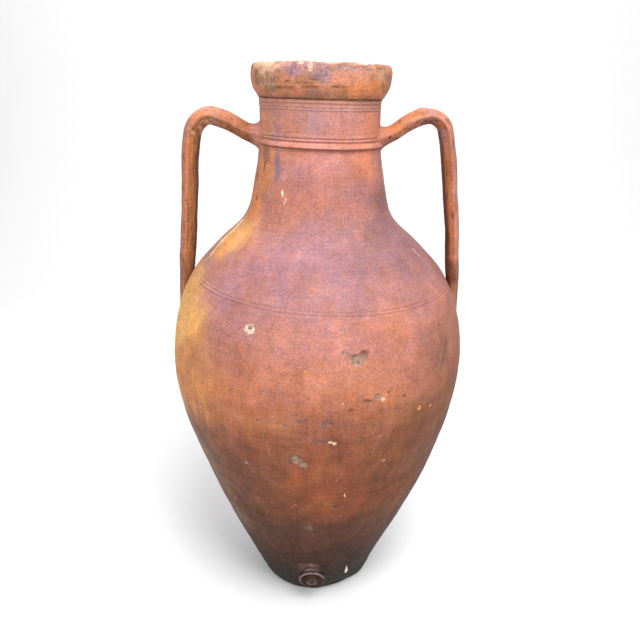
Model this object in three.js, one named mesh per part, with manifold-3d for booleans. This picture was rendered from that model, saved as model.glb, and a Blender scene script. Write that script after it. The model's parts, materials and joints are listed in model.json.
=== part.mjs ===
// Large two-handled storage amphora in unglazed red earthenware, with a plugged drain near its foot.
// It is built from the pieces a potter makes and lutes together: a base slab, four thrown wall
// sections, a rim collar, a cordon, two pulled strap handles, a drain spout and the loose bung in it.
// Millimetres, +Z up. Origin: centre of the underside of the foot. Handles lie along X, the drain
// faces -Y.
import * as THREE from 'three';
import { mergeVertices } from 'three/addons/utils/BufferGeometryUtils.js';
import Module from 'manifold-3d';

const wasm = await Module();
wasm.setup();

// ---------------------------------------------------------------- driving dimensions
const HEIGHT = 1000;
const GAP = 0.3; // clearance between neighbouring pieces
const SEGMENTS = 40; // sides of every round piece about the jar's axis

const FOOT_RADIUS = 115;
const FOOT_EDGE = 6; // radius of the worn bottom edge of the foot
const BELLY_RADIUS = 268.5;
const BELLY_HEIGHT = 505;
const NECK_RADIUS = 100.5;
const COLLAR_RADIUS = 114;

const BASE_THICKNESS = 20;
const FOOT_WALL = 19; // wall thickness at the foot, thinning evenly to RIM_WALL at the top
const RIM_WALL = 14;

// Heights at which one section of the wall ends and the next begins, on the outside.
const BASE_JOINT = 22;
const LOWER_JOINT = 337;
const SHOULDER_JOINT = 660;
const NECK_JOINT = 755;
const COLLAR_JOINT = 951;
const BEVEL = 8; // how much higher each joint is on the inside than on the outside
const ROW = 42; // longest step between profile rows

const TONGUE_HEIGHT = 12; // the neck's tongue, which stands up inside the rim collar
const TONGUE_WALL = 7;
const MOUTH_RADIUS = 87;

const CORDON = { bottom: 877, height: 13, depth: 4.5 };

const STRAP = { width: 46, thickness: 27, sides: 8, steps: 26 };
const NECK_ROOT = { height: 893, inset: 94, depth: 15, width: 46, tall: 27 };
const SHOULDER_ROOT = { height: 612, inset: 246, depth: 14, width: 32, tall: 42 };

const SPOUT = { x: -8.5, reach: 158, height: 70, droop: 16 }; // centre and tilt of the lip
const LIP_RADIUS = 26;
const SPOUT_NECK = 20;
const MOUND_RADIUS = 43;
const SHANK_RADIUS = 19;
const SHANK_END = -41; // measured along the spout's axis from the lip, inwards negative
const MOUTH_FLARE = 20;
const FLARE_DEPTH = 6;
const BORE_RADIUS = 12.8;
const BORE_TAPER = 0.07; // change of radius for each millimetre along the bore
const BUNG = { proud: 5, end: -38, hollow: 6, hollowDepth: 3 };
const SPOUT_SIDES = 28;

// ---------------------------------------------------------------- solids
const radians = THREE.MathUtils.degToRad;

function toManifold(geometry) {
  geometry.deleteAttribute('normal');
  geometry.deleteAttribute('uv');
  const merged = mergeVertices(geometry, 1e-3);
  const index = merged.index.array;
  const triangles = [];
  for (let i = 0; i < index.length; i += 3) {
    const [a, b, c] = [index[i], index[i + 1], index[i + 2]];
    if (a !== b && b !== c && c !== a) {
      triangles.push(a, b, c);
    }
  }
  const mesh = new wasm.Mesh({
    numProp: 3,
    vertProperties: Float32Array.from(merged.attributes.position.array),
    triVerts: Uint32Array.from(triangles),
  });
  return new wasm.Manifold(mesh);
}

function toGeometry(manifold) {
  const mesh = manifold.getMesh();
  const geometry = new THREE.BufferGeometry();
  geometry.setAttribute('position', new THREE.BufferAttribute(mesh.vertProperties, 3));
  geometry.setIndex(new THREE.BufferAttribute(mesh.triVerts, 1));
  geometry.computeVertexNormals();
  return geometry;
}

// Turns a profile of [radius, height] points, counter-clockwise, about the Z axis. The profile
// either runs from axis to axis or closes on its first point.
function turned(profile, sides = SEGMENTS) {
  const points = profile.map(([radius, height]) => new THREE.Vector2(radius, height));
  const geometry = new THREE.LatheGeometry(points, sides);
  geometry.rotateX(Math.PI / 2);
  return toManifold(geometry);
}

// ---------------------------------------------------------------- wall profile
// The outside of the jar from foot to collar: a tapered base, an egg-shaped belly, a steep
// shoulder and a slightly waisted neck.
const wallCurve = new THREE.SplineCurve([
  new THREE.Vector2(FOOT_RADIUS, 0),
  new THREE.Vector2(142.5, 68),
  new THREE.Vector2(169.5, 136),
  new THREE.Vector2(196, 204),
  new THREE.Vector2(220, 272),
  new THREE.Vector2(241, 342),
  new THREE.Vector2(260, 418),
  new THREE.Vector2(BELLY_RADIUS, BELLY_HEIGHT),
  new THREE.Vector2(256, 590),
  new THREE.Vector2(227, 658),
  new THREE.Vector2(179, 712),
  new THREE.Vector2(127.5, 763),
  new THREE.Vector2(109.5, 830),
  new THREE.Vector2(NECK_RADIUS, 892),
  new THREE.Vector2(NECK_RADIUS, COLLAR_JOINT),
]);

function outerRadius(height) {
  let low = 0;
  let high = 1;
  for (let i = 0; i < 40; i += 1) {
    const middle = (low + high) / 2;
    if (wallCurve.getPoint(middle).y < height) {
      low = middle;
    } else {
      high = middle;
    }
  }
  return wallCurve.getPoint(low).x;
}

function innerRadius(height) {
  const span = 2;
  const slope = (outerRadius(height + span) - outerRadius(height - span)) / (2 * span);
  const wall = FOOT_WALL + ((RIM_WALL - FOOT_WALL) * height) / HEIGHT;
  return outerRadius(height) - wall * Math.hypot(1, slope);
}

// Evenly stepped heights from one joint to the next, half a gap clear of each.
function rowHeights(bottomJoint, topJoint) {
  const from = bottomJoint + GAP / 2;
  const to = topJoint - GAP / 2;
  const count = Math.ceil((to - from) / ROW);
  return Array.from({ length: count + 1 }, (_, i) => from + ((to - from) * i) / count);
}

function outsideRows(bottomJoint, topJoint, margin = 0) {
  return rowHeights(bottomJoint, topJoint).map((height) => [outerRadius(height) + margin, height]);
}

// The inside rows run downwards, so that a profile goes up the outside and back down the inside.
function insideRows(bottomJoint, topJoint) {
  return rowHeights(bottomJoint, topJoint).reverse().map((height) => [innerRadius(height), height]);
}

// One thrown section between two joints. Each joint is a bevel, higher on the inside.
function wallSection(bottomJoint, topJoint) {
  const profile = [
    ...outsideRows(bottomJoint, topJoint),
    ...insideRows(bottomJoint + BEVEL, topJoint + BEVEL),
  ];
  profile.push(profile[0]);
  return turned(profile);
}

function neckSection() {
  const top = COLLAR_JOINT - GAP / 2;
  const profile = [
    ...outsideRows(NECK_JOINT, COLLAR_JOINT),
    [MOUTH_RADIUS + TONGUE_WALL, top],
    [MOUTH_RADIUS + TONGUE_WALL, top + TONGUE_HEIGHT],
    [MOUTH_RADIUS, top + TONGUE_HEIGHT],
    ...insideRows(NECK_JOINT + BEVEL, COLLAR_JOINT),
  ];
  profile.push(profile[0]);
  return turned(profile);
}

// The whole jar as one filled solid, grown by a margin: it cuts whatever is luted onto the wall.
function filledJar(margin) {
  const joints = [0, BASE_JOINT, LOWER_JOINT, SHOULDER_JOINT, NECK_JOINT, COLLAR_JOINT];
  const rows = joints.slice(1).flatMap((top, i) => outsideRows(joints[i], top, margin));
  return turned([[0, 0], ...rows, [0, COLLAR_JOINT]]);
}

function baseSlab() {
  const joint = BASE_JOINT - GAP / 2;
  const lip = joint + BEVEL;
  const foot = new THREE.Path();
  foot.absarc(FOOT_RADIUS - FOOT_EDGE, FOOT_EDGE, FOOT_EDGE, -Math.PI / 2, -0.2, false);
  return turned([
    [0, 0],
    ...foot.getPoints(4).map((point) => [point.x, point.y]),
    [outerRadius(joint), joint],
    [innerRadius(lip), lip],
    [innerRadius(lip) - BEVEL, BASE_THICKNESS],
    [0, BASE_THICKNESS],
  ]);
}

// A flaring moulding with a round top edge, rebated underneath for the neck's tongue.
function rimCollar() {
  const underside = COLLAR_JOINT + GAP / 2;
  const rebate = MOUTH_RADIUS + TONGUE_WALL + GAP;
  const edge = 10;
  const shoulder = HEIGHT - 17;
  const outline = new THREE.Path();
  outline.moveTo(NECK_RADIUS, underside);
  outline.bezierCurveTo(104, 958, COLLAR_RADIUS, 964, COLLAR_RADIUS, shoulder);
  const crown = HEIGHT - shoulder;
  outline.absellipse(COLLAR_RADIUS - edge, shoulder, edge, crown, 0, Math.PI / 2, false, 0);
  const profile = [
    ...outline.getPoints(4).map((point) => [point.x, point.y]),
    [MOUTH_RADIUS + 5, HEIGHT],
    [MOUTH_RADIUS, HEIGHT - 5],
    [MOUTH_RADIUS, underside + TONGUE_HEIGHT],
    [rebate, underside + TONGUE_HEIGHT],
    [rebate, underside],
  ];
  profile.push(profile[0]);
  return turned(profile);
}

function cordonRing() {
  const { bottom, height, depth } = CORDON;
  const top = bottom + height;
  const crest = NECK_RADIUS + depth;
  const core = NECK_RADIUS - depth;
  const profile = [
    [core, bottom],
    [crest - 1, bottom],
    [crest, bottom + 2],
    [crest, bottom + height * 0.6],
    [crest - 2.5, top],
    [core, top],
  ];
  profile.push(profile[0]);
  return turned(profile).subtract(filledJar(GAP));
}

// The square groove that a handle's root leaves free for the cordon to pass under it.
function cordonSeat() {
  const { bottom, height, depth } = CORDON;
  return turned([
    [0, bottom - GAP],
    [NECK_RADIUS + depth + GAP, bottom - GAP],
    [NECK_RADIUS + depth + GAP, bottom + height + GAP],
    [0, bottom + height + GAP],
  ]);
}

// ---------------------------------------------------------------- handles
// The middle line of the right strap, in the XZ plane: out of the neck, over a tight bend, and
// down to the shoulder.
const strapLine = new THREE.CatmullRomCurve3(
  [
    [84, 890],
    [106, 895],
    [128, 904],
    [158, 919],
    [186, 925],
    [207, 911],
    [216, 885],
    [225, 820],
    [235, 740],
    [243, 668],
    [247, 604],
  ].map(([x, z]) => new THREE.Vector3(x, 0, z)),
);

function ellipsoid(root) {
  const geometry = new THREE.SphereGeometry(1, 18, 10);
  geometry.scale(root.depth, root.width, root.tall);
  geometry.translate(root.inset, 0, root.height);
  return toManifold(geometry);
}

function strapHandle() {
  const section = new THREE.Shape();
  section.absellipse(0, 0, STRAP.width / 2, STRAP.thickness / 2, 0, Math.PI * 2, false, 0);
  const strap = new THREE.ExtrudeGeometry(section, {
    extrudePath: strapLine,
    steps: STRAP.steps,
    curveSegments: STRAP.sides,
    bevelEnabled: false,
  });
  return toManifold(strap)
    .add(ellipsoid(NECK_ROOT))
    .add(ellipsoid(SHOULDER_ROOT))
    .subtract(filledJar(GAP))
    .subtract(cordonSeat());
}

// ---------------------------------------------------------------- drain
// Puts a piece turned about Z onto the spout's axis, with its height zero at the lip.
function onSpoutAxis(manifold) {
  return manifold
    .rotate([90 + SPOUT.droop, 0, 0])
    .translate([SPOUT.x, -SPOUT.reach, SPOUT.height]);
}

function boreRadius(along) {
  return BORE_RADIUS + (along + FLARE_DEPTH) * BORE_TAPER;
}

function shank(margin) {
  const radius = SHANK_RADIUS + margin;
  const inner = SHANK_END - margin;
  const profile = [
    [0, inner],
    [radius, inner],
    [radius, -FLARE_DEPTH],
    [0, -FLARE_DEPTH],
  ];
  return onSpoutAxis(turned(profile, SPOUT_SIDES));
}

function drainSpout() {
  const buried = -34;
  const groove = -11;
  const collar = turned(
    [
      [0, buried],
      [MOUND_RADIUS, buried],
      [MOUND_RADIUS, -20],
      [MOUND_RADIUS - 5, -15],
      [MOUND_RADIUS - 14, groove - 1],
      [SPOUT_NECK, groove],
      [SPOUT_NECK + 1, groove + 4],
      [LIP_RADIUS, -5],
      [LIP_RADIUS, -1.5],
      [LIP_RADIUS - 1.5, 0],
      [0, 0],
    ],
    SPOUT_SIDES,
  );
  const bore = turned(
    [
      [0, SHANK_END - 5],
      [boreRadius(SHANK_END - 5), SHANK_END - 5],
      [boreRadius(-FLARE_DEPTH), -FLARE_DEPTH],
      [MOUTH_FLARE, 1],
      [0, 1],
    ],
    SPOUT_SIDES,
  );
  return onSpoutAxis(collar)
    .subtract(filledJar(GAP))
    .add(shank(0))
    .subtract(onSpoutAxis(bore));
}

function drainBung() {
  const face = BUNG.proud;
  const faceRadius = boreRadius(-FLARE_DEPTH) - GAP;
  return onSpoutAxis(
    turned(
      [
        [0, BUNG.end],
        [boreRadius(BUNG.end) - GAP, BUNG.end],
        [faceRadius, -FLARE_DEPTH],
        [faceRadius, face - 2],
        [faceRadius - 2, face],
        [BUNG.hollow, face],
        [BUNG.hollow - 2, face - BUNG.hollowDepth],
        [0, face - BUNG.hollowDepth],
      ],
      SPOUT_SIDES,
    ),
  );
}

// ---------------------------------------------------------------- assembly
function clay(color, roughness) {
  return new THREE.MeshStandardMaterial({ color, roughness, metalness: 0 });
}

const amphora = new THREE.Group();
amphora.name = 'amphora';

function addPiece(name, manifold, material) {
  const mesh = new THREE.Mesh(toGeometry(manifold), material);
  mesh.name = name;
  amphora.add(mesh);
}

addPiece('base_slab', baseSlab(), clay('#3f2a22', 0.9));
addPiece('lower_body', wallSection(BASE_JOINT, LOWER_JOINT).subtract(shank(GAP)), clay('#8a4a30', 0.85));
addPiece('belly', wallSection(LOWER_JOINT, SHOULDER_JOINT), clay('#b4643c', 0.8));
addPiece('shoulder', wallSection(SHOULDER_JOINT, NECK_JOINT), clay('#b0614a', 0.8));
addPiece('neck', neckSection(), clay('#b0604a', 0.8));
addPiece('neck_cordon', cordonRing(), clay('#a85a44', 0.8));
addPiece('rim_collar', rimCollar(), clay('#bb6540', 0.82));

const handle = strapHandle();
addPiece('handle_right', handle, clay('#b5643f', 0.8));
addPiece('handle_left', handle.mirror([1, 0, 0]), clay('#bd6c42', 0.8));

addPiece('drain_spout', drainSpout(), clay('#6e4636', 0.88));
addPiece('drain_bung', drainBung(), clay('#6b5f55', 0.9));

export default amphora;
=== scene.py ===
"""A tall earthenware storage amphora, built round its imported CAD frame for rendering.

Metres, +Z up, the drain spout towards -Y and the handles along X. Every wall piece is cut from one
shared surface, so that neighbouring pieces meet without a step.
"""
import json
import math

import bpy
import numpy as np
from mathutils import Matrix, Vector


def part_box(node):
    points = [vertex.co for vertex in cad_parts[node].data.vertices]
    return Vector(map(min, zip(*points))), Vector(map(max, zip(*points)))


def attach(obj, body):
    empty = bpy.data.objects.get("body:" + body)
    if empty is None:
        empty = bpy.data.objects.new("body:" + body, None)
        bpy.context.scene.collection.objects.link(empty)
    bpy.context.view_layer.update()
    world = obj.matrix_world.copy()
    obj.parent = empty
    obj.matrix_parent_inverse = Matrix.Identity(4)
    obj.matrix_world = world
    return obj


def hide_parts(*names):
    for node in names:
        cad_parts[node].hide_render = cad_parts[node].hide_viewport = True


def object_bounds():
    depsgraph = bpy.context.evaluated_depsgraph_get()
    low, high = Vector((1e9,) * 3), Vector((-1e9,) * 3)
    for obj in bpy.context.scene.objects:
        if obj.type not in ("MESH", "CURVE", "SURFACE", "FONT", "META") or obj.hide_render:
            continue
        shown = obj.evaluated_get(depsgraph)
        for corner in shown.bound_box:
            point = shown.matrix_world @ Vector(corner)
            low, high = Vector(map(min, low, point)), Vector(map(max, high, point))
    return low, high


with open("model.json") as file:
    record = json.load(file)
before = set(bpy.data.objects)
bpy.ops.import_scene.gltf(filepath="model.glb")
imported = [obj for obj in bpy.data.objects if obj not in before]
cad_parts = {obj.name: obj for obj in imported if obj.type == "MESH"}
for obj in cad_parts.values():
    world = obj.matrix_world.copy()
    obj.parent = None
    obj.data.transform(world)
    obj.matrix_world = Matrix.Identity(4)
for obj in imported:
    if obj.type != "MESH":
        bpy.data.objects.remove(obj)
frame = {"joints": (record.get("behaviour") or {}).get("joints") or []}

cad_box = [list(corner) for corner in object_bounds()]

# ---- sizes taken from the frame
MM = 0.001
SEGMENTS = 600  # steps round the jar
TOP = cad_box[1][2]
BASE_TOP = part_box("lower_body")[0].z
LOWER_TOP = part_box("belly")[0].z
BELLY_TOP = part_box("shoulder")[0].z
SHOULDER_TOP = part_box("neck")[0].z
NECK_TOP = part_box("rim_collar")[0].z
COLLAR_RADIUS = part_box("rim_collar")[1].x
CREST = TOP + 3 * MM  # the rim's upper edge before it is worn down
MOUTH_RADIUS = 87 * MM
BEVEL = 8 * MM  # how far a wall joint slopes up towards the inside
FLOOR_THICKNESS = 20 * MM
TONGUE_TOP = NECK_TOP + 12 * MM  # the neck's tongue stands this high inside the rim
AZIMUTH = np.linspace(-math.pi, math.pi, SEGMENTS, endpoint=False)


# ---- repeatable noise
def hashed(ix, iy, iz, seed):
    """A repeatable number from -1 to 1 for each lattice point."""
    h = (ix * 374761393 + iy * 668265263 + iz * 2147483647 + seed * 1274126177) & 0xFFFFFFFF
    h = ((h ^ (h >> 13)) * 1274126177) & 0xFFFFFFFF
    h = ((h ^ (h >> 16)) * 2246822519) & 0xFFFFFFFF
    return ((h ^ (h >> 15)) & 0xFFFFFF) / float(0x7FFFFF) - 1.0


def noise(points, scale, seed):
    """Smooth value noise, from -1 to 1, with features 1 / scale metres wide."""
    p = np.asarray(points) * scale + 1000.0
    cell = np.floor(p).astype(np.int64)
    f = p - cell
    f = f * f * f * (f * (f * 6 - 15) + 10)
    total = 0
    for dx in (0, 1):
        wx = f[..., 0] if dx else 1 - f[..., 0]
        for dy in (0, 1):
            wy = f[..., 1] if dy else 1 - f[..., 1]
            for dz in (0, 1):
                wz = f[..., 2] if dz else 1 - f[..., 2]
                corner = hashed(cell[..., 0] + dx, cell[..., 1] + dy, cell[..., 2] + dz, seed)
                total = total + wx * wy * wz * corner
    return total


def layered(points, scale, seed, octaves=4):
    """Noise with finer and fainter layers over it, still roughly from -1 to 1."""
    total, weight = 0, 1.0
    for i in range(octaves):
        total = total + weight * noise(points, scale * 2**i, seed + 17 * i)
        weight *= 0.55
    return total / 1.6


def ramp(x, low, high):
    """A smooth step from 0 at low to 1 at high."""
    t = np.clip((x - low) / (high - low), 0, 1)
    return t * t * (3 - 2 * t)


def patches(points, scale, seed, low, high):
    """A 0 to 1 mask of ragged patches."""
    return ramp(layered(points, scale, seed), low, high)


def xyz(x, y, z):
    """Points from their coordinates, any of which may be a single number."""
    return np.stack(np.broadcast_arrays(x, y, z), -1)


def around(r, azimuth, z):
    """Points at a radius, azimuth and height on the upright jar. Azimuth 0 is the front."""
    return xyz(r * np.sin(azimuth), -r * np.cos(azimuth), z)


def curl(angle, power):
    """A rounded-rectangle version of the cosine and sine of an angle."""
    c, s = np.cos(angle), np.sin(angle)
    return np.sign(c) * np.abs(c) ** (2 / power), np.sign(s) * np.abs(s) ** (2 / power)


# ---- the wall's outline
WALL_POINTS = [
    (115, 0), (142.5, 68), (169.5, 136), (196, 204), (220, 272), (241, 342), (260, 418), (268.5, 505),
    (256, 590), (227, 658), (179, 712), (127.5, 763), (109.5, 830), (100.5, 892), (100.5, 951),
]
WALL_AT_FOOT, WALL_AT_RIM = 19 * MM, 14 * MM


def spline(points, steps=40):
    """Points along a curve through the given ones, any number of columns."""
    p = np.array([points[0], *points, points[-1]], float)
    t = np.linspace(0, 1, steps, endpoint=False)[:, None]
    rows = []
    for a, b, c, d in zip(p[:-3], p[1:-2], p[2:-1], p[3:], strict=True):
        v0, v1 = (c - a) / 2, (d - b) / 2
        rows.append((2 * b - 2 * c + v0 + v1) * t**3 + (-3 * b + 3 * c - 2 * v0 - v1) * t**2 + v0 * t + b)
    rows.append(p[-1:])
    return np.concatenate(rows)


outline = spline(WALL_POINTS) * MM


def outer_radius(z):
    return np.interp(z, outline[:, 1], outline[:, 0])


def outer_slope(z):
    step = 3 * MM
    return (outer_radius(z + step) - outer_radius(z - step)) / (2 * step)


def inner_radius(z):
    wall = WALL_AT_FOOT + (WALL_AT_RIM - WALL_AT_FOOT) * z / TOP
    return outer_radius(z) - wall * np.hypot(1, outer_slope(z))


# The whole jar leans a little to +X as it rises, and its rings dip to that side.
LEAN = [
    (0, -4.5), (0.1, -3.2), (0.2, -0.6), (0.3, 2.0), (0.41, 0.8), (0.5, 1), (0.6, 3.2), (0.76, 4.8),
    (0.85, 6.3), (0.95, 7), (1.0, 9),
]
DIP = [(0, 0), (0.45, 0), (0.66, 0.6), (0.885, 1.9), (1.0, 1.3)]


def along(table, z):
    return np.interp(z, *np.array(table).T)


def lean_at(z):
    return along(LEAN, z) * MM


def settled(points):
    """Carries points of the upright jar onto the leaning one."""
    p = np.array(points, float)
    x, z = p[..., 0].copy(), p[..., 2].copy()
    p[..., 0] += lean_at(z)
    p[..., 2] -= x * np.tan(np.radians(along(DIP, z)))
    return p


# ---- relief of the wall
GROOVES = [  # height, depth and half width in mm, and degrees of dip to +X beyond the wall's own
    (657.5, 0.8, 1.1, 2.1), (662.5, 0.7, 1.0, 2.1),
    (890.4, 1.5, 1.2, 0), (895.6, 1.3, 1.1, 0), (903.0, 0.3, 1.2, 0),
    (935.5, 0.9, 1.1, 0), (939.5, 0.7, 0.9, 0), (945.5, 1.1, 1.1, 0),
]
SEAM_LINES = [
    (337.5, 0.8, 1.5, 0.3), (330.0, 0.5, 1.2, 0.5), (346.0, 0.5, 1.2, 0.2), (352.0, 0.4, 1.2, -0.1),
    (755.0, 0.2, 3.0, 0),
]

MARKS = [
    # azimuth, height mm, half width mm, half height mm, turn, depth mm, kind
    (-25.2, 633, 9, 8, 0, 0.7, "ring"), (14.2, 597, 13, 9, 35, 2.4, "grey"),
    (15.6, 604, 9, 4.5, 20, 1.4, "dark"), (9.4, 606, 7, 3.6, -32, 0.5, "grey"),
    (11.6, 600, 5, 3, -20, 0.6, "tan"), (8.2, 637, 3, 2, 0, 0.7, "pale"),
    (22.2, 530, 4.5, 4.5, 0, 0.9, "ring"), (20.2, 536, 6, 5, 0, 0.8, "grey"),
    (17, 531, 9, 3, -10, 0.6, "dark"), (24.5, 540, 4, 3, 0, 0.6, "dark"),
    (8.4, 532, 2.5, 2.5, 0, 0.8, "pale"), (30.6, 527, 3, 2.5, 0, 0.6, "dark"),
    (54.5, 574, 14, 3.2, 58, 0.6, "dark"), (50.5, 551, 15, 3.2, 60, 0.5, "dark"),
    (52, 615, 4, 2, 0, 0.5, "dark"), (38, 493, 5, 4.5, 0, 0.5, "orange"),
    (44, 488, 2.5, 2, 0, 0.5, "pale"), (-5, 503, 9, 3.5, 0, 0.9, "slate"),
    (3.4, 499, 9, 6, 10, 1, "slate"), (1.5, 493, 7, 3, 0, 0.8, "slate"),
    (-10, 493, 4, 3, 0, 0.5, "slate"), (11, 520, 5, 3, 20, 0.5, "dark"),
    (2.3, 468, 13, 3.2, -8, 1.2, "slate"), (4.4, 466, 4, 2.2, 10, 0.6, "cream"),
    (6, 463, 3.6, 3, 0, 0.6, "cream"), (1.2, 592, 3, 3, 0, 0.3, "orange"),
    (-4, 582, 3, 2.5, 0, 0.3, "orange"), (22, 464, 2.2, 2.2, 0, 0.7, "pale"),
    (19, 489, 5, 2, 0, 0.4, "dark"), (-3.4, 482, 2.2, 2.2, 0, 0.5, "dark"),
    (-7, 431, 11, 7, -30, 1.2, "tan"), (-4.6, 421, 9, 7, -50, 1, "tan"),
    (-9, 424, 5, 4, -50, 0.8, "dark"), (7.5, 383, 2, 2, 0, 0.5, "pale"),
    (24.7, 410, 3, 2.6, 0, 0.5, "pale"), (-26.5, 402, 2.6, 2.6, 0, 0.5, "pale"),
    (11, 340, 1.8, 6, 10, 0.4, "cream"), (-9, 317, 3.5, 1.8, 0, 0.4, "pale"),
    (8, 315, 6, 6, 0, 0.5, "dark"), (-3.7, 250, 9, 11, 15, 0.6, "moss"),
    (14, 232, 2, 1.6, 0, 0.3, "pale"), (6.5, 152, 1.4, 1.8, 0, 0.3, "pale"),
    (26.2, 67, 2.8, 21, 12, 0, "straw"), (-44, 268, 1.5, 17, -24, 0.2, "hair"),
    (-39, 287, 1.3, 12, 30, 0.2, "hair"), (-50, 241, 1.5, 15, -12, 0.2, "hair"),
    (-46, 212, 1.4, 12, 18, 0.2, "hair"), (-53, 118, 2, 14, 35, 0.3, "hair"),
    # The scuffs along the left contour of the shoulder, and the worn streak on the right shoulder edge,
    # are pale wear with painted highlight along the edge.
    (-79, 742, 8, 19, 4, 0.3, "scuff_and_highlight"), (-77, 718, 8.5, 16, 6, 0.3, "scuff_and_highlight"),
    (-75, 699, 6, 13, 5, 0.3, "scuff_and_highlight"), (-70, 828, 4.5, 7, 12, 0.3, "umber"),
    (-57, 846, 2.5, 11, -4, 0.2, "umber"), (-63, 797, 3, 4, 30, 0.2, "umber"),
    (68, 714, 2, 15, -6, 0.3, "worn"), (-31, 812, 2.5, 7, 10, 0.3, "cream"),
    (-28, 800, 2, 6, -12, 0.3, "cream"),
]


def mark_field(points, mark):
    """1 in the middle of a mark, 0 past its ragged edge."""
    azimuth, height, wide, tall, turn, _, _ = mark
    c, s = np.cos(math.radians(azimuth)), np.sin(math.radians(azimuth))
    x, y, z = points[..., 0], points[..., 1], points[..., 2]
    z0 = height * MM
    across, front = c * x + s * y, s * x - c * y
    up = (z - z0) * float(np.hypot(1, outer_slope(z0)))
    c, s = math.cos(math.radians(turn)), math.sin(math.radians(turn))
    u = (across * c + up * s) / (wide * MM)
    v = (-across * s + up * c) / (tall * MM)
    distance = np.sqrt(u * u + v * v) + 0.28 * noise(points, 150, int(height))
    return np.clip(1 - 0.5 * distance, 0, 1) * (front > 0.3 * float(outer_radius(z0)))


def from_line(points, height, dip):
    """How far points of the upright jar lie above an incised or seam line, which wavers a little."""
    z = points[..., 2]
    wander = 0.5 * MM * noise(points, 22, 6)
    return z - height * MM + points[..., 0] * math.tan(math.radians(dip)) + wander


def relief(points, azimuth, z):
    """How far the wall stands out from its plain outline, in metres, at each point of it."""
    d = 1.3 * MM * noise(points, 5, 1) + 0.55 * MM * noise(points, 13, 2)
    d += 0.22 * MM * noise(points, 38, 3)
    rings = xyz(0, 0, z + 2.4 * MM * azimuth / math.tau)
    d += 0.20 * MM * noise(rings, 62, 4) + 0.10 * MM * noise(rings, 125, 5)
    for height, depth, half, dip in GROOVES + SEAM_LINES:
        fade = 0.72 + 0.38 * noise(points, 16, int(height))
        offset = from_line(points, height, dip)
        d -= depth * MM * fade * np.exp(-((offset / (half * MM)) ** 2))
    for mark in MARKS:
        _, height, wide, tall, _, depth, _ = mark
        near = np.abs(z - height * MM) < 2.2 * max(wide, tall) * MM
        if near.any():
            rough = 0.75 + 0.35 * noise(points[near], 300, 8)
            d[near] -= depth * MM * ramp(mark_field(points[near], mark), 0.38, 0.62) * rough
    return d


def scattered_pits(count, seed):
    """Small hollows left by burnt-out grit: azimuth, height, radius and depth of each."""
    spread = np.random.default_rng(seed)
    pits = []
    for _ in range(count):
        low_down = 0.05 + 0.6 * spread.uniform() ** 0.8
        pits.append((spread.uniform(-math.pi, math.pi), low_down,
                     spread.uniform(1.4, 2.8) * MM, spread.uniform(0.3, 0.8) * MM))
    return pits


PITS = scattered_pits(110, 11)


def pit_relief(azimuth, z):
    d = np.zeros_like(z)
    for a0, z0, size, depth in PITS:
        rows = np.where(np.abs(z[:, 0] - z0) < 3 * size)[0]
        if not len(rows):
            continue
        turn = (azimuth[rows] - a0 + math.pi) % math.tau - math.pi
        across = turn * outer_radius(z0)
        up = z[rows] - z0
        d[rows] -= depth * np.exp(-(across**2 + up**2) / (size * size))
    return d


def foot_wear(azimuth, z):
    """The worn front right edge of the foot: how far it stands out, and how far it is raised."""
    turn = np.degrees(azimuth)
    facet = np.exp(-(((turn - 24) / 15) ** 2)) * ramp(40 * MM - z, 0, 36 * MM)
    corner = np.exp(-(((turn - 55) / 11) ** 2)) * ramp(70 * MM - z, 0, 60 * MM)
    return -1.5 * MM * facet + 3.2 * MM * corner, 5.5 * MM * facet


def outer_grid(heights):
    """Rings of the outer wall at the given heights: positions of shape (rows, segments, 3)."""
    z, a = np.meshgrid(heights, AZIMUTH, indexing="ij")
    r, slope = outer_radius(z), outer_slope(z)
    length = np.hypot(1, slope)
    out, lift = foot_wear(a, z)
    d = (relief(around(r, a, z), a, z) + pit_relief(a, z)) * ramp(z, 0, 12 * MM) + out
    return settled(around(r + d / length, a, z - d * slope / length + lift))


def inner_grid(heights, radii=None):
    """Rings of the inner wall, or of given radii, with the potter's finger ridges."""
    z, a = np.meshgrid(heights, AZIMUTH, indexing="ij")
    r = inner_radius(z) if radii is None else np.broadcast_to(np.array(radii)[:, None], z.shape)
    ridges = 0.7 * MM * noise(xyz(0, 0, z + 6 * MM * a / math.tau), 70, 21)
    return settled(around(r + ridges + 0.8 * MM * noise(around(r, a, z), 9, 22), a, z))


ROW = 2.7 * MM  # distance between rings of the outer wall


def row_heights(low, high):
    """Heights of the rings, a plain step apart along the wall and closer at the incised lines."""
    z = np.linspace(low, high, 3000)
    fine = np.zeros_like(z)
    for height, _, half, dip in GROOVES:
        reach = (half + 1.5) * MM + outer_radius(height * MM) * math.tan(math.radians(dip))
        fine = np.maximum(fine, (np.abs(z - height * MM) < reach).astype(float))
    spacing = ROW * np.where(fine > 0, 0.3, 1)
    spacing = np.where(z > SHOULDER_TOP, spacing * 0.8, spacing)
    density = np.hypot(1, outer_slope(z)) / spacing
    total = np.concatenate([[0], np.cumsum((density[1:] + density[:-1]) / 2 * np.diff(z))])
    count = max(2, int(round(total[-1])))
    return np.interp(np.linspace(0, total[-1], count + 1), total, z)


# ---- mesh building
def placed(name, data):
    made = bpy.data.objects.new(name, data)
    bpy.context.scene.collection.objects.link(made)
    return made


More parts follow.
